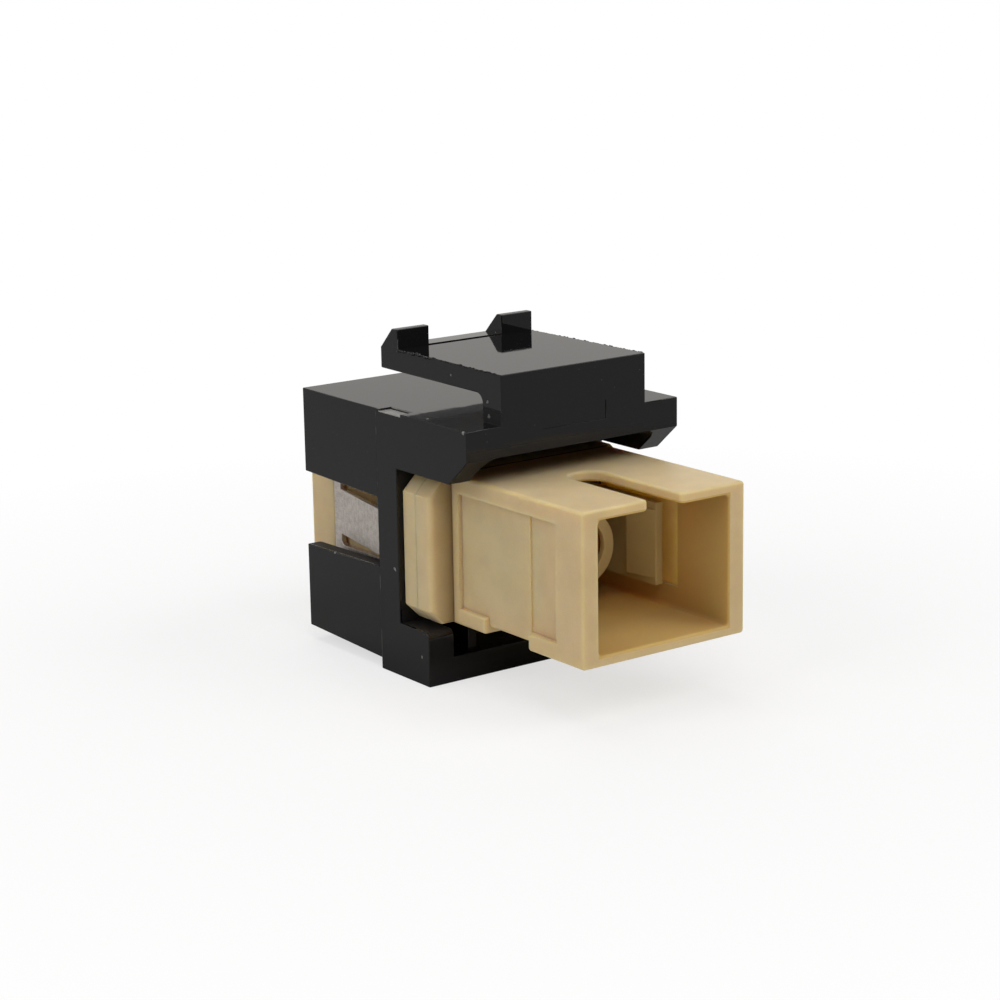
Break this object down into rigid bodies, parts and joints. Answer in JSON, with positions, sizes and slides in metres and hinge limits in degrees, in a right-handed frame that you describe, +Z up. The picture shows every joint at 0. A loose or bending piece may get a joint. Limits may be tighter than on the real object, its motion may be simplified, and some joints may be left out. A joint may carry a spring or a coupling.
{
  "type": "wall plate fibre adapter insert",
  "caption": "Snap-in wall plate insert: a housing with a springy latch holds a fibre adapter with a square port at the front and at the rear.",
  "frame": {"origin": "on the fibre axis, in the middle of the alignment sleeve, where the two ferrules meet", "axes": "+X to the right seen from the room, +Y from the front port to the rear port, +Z up towards the latch"},
  "size_m": [0.0148, 0.0264, 0.0194],
  "materials": {
    "black_housing": "glossy moulded black",
    "beige_shell": "satin moulded beige, slightly translucent",
    "pale_holder": "satin moulded, greyish beige",
    "bronze_sleeve": "smooth drawn bronze",
    "steel_clip": "rolled stainless strip"
  },
  "bodies": {
    "root": {"keystone_housing": "black_housing", "adapter_front_shell": "beige_shell", "adapter_rear_shell": "beige_shell", "front_sleeve_holder": "pale_holder", "rear_sleeve_holder": "pale_holder", "alignment_sleeve": "bronze_sleeve", "spring_clip": "steel_clip"}
  },
  "joints": []
}
